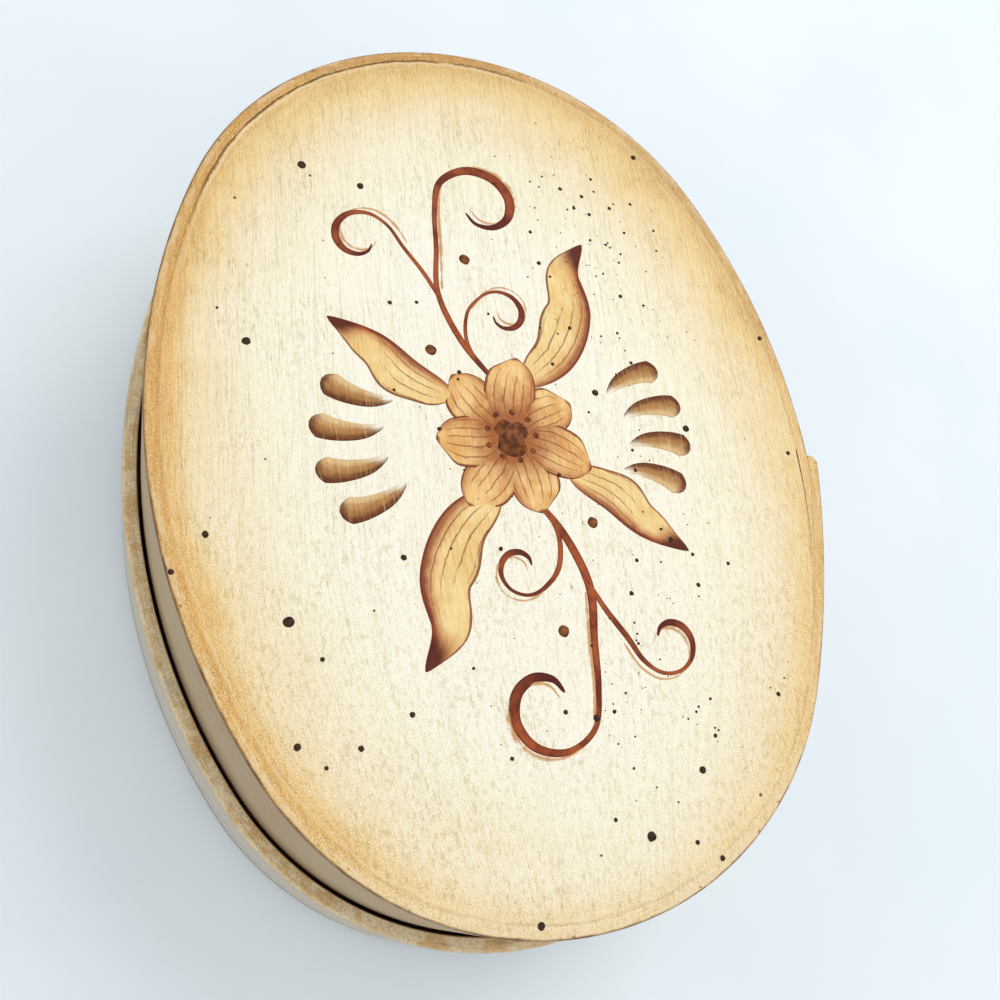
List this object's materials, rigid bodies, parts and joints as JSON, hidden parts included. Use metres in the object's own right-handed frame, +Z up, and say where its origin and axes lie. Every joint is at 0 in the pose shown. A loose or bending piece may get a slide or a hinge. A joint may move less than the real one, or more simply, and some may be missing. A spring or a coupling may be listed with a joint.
{
  "type": "bentwood oval box",
  "caption": "Oval bentwood box with a deep painted cover that stands inside a shallow bent-band base and lifts straight off.",
  "frame": {"origin": "middle of the plain oval on the underside of the base", "axes": "+Z up, the way the cover lifts; +X along the oval; +Y toward the long side where the bands lap"},
  "size_m": [0.2184, 0.1677, 0.062],
  "materials": {
    "cover_paint": "cream paint, thinly brushed, with an ochre glaze toward the rim, dark spatter and a satin varnish",
    "base_wash": "thin grey-white wash over tan wood, rubbed through along the rim, matt",
    "bare_wood": "bare planed softwood, matt",
    "brad_wire": "dulled wire, driven just below the surface"
  },
  "bodies": {
    "base": {"base_board": "bare_wood", "base_band": "base_wash", "base_board_brads": "brad_wire", "base_lap_brads": "brad_wire"},
    "cover": {"cover_board": "cover_paint", "cover_band": "cover_paint", "cover_board_brads": "brad_wire", "cover_lap_brads": "brad_wire"}
  },
  "joints": [
    {"name": "cover_lift", "type": "slide", "parent": "base", "child": "cover", "axis": [0, 0, 1], "range_m": [0, 0.08]}
  ]
}
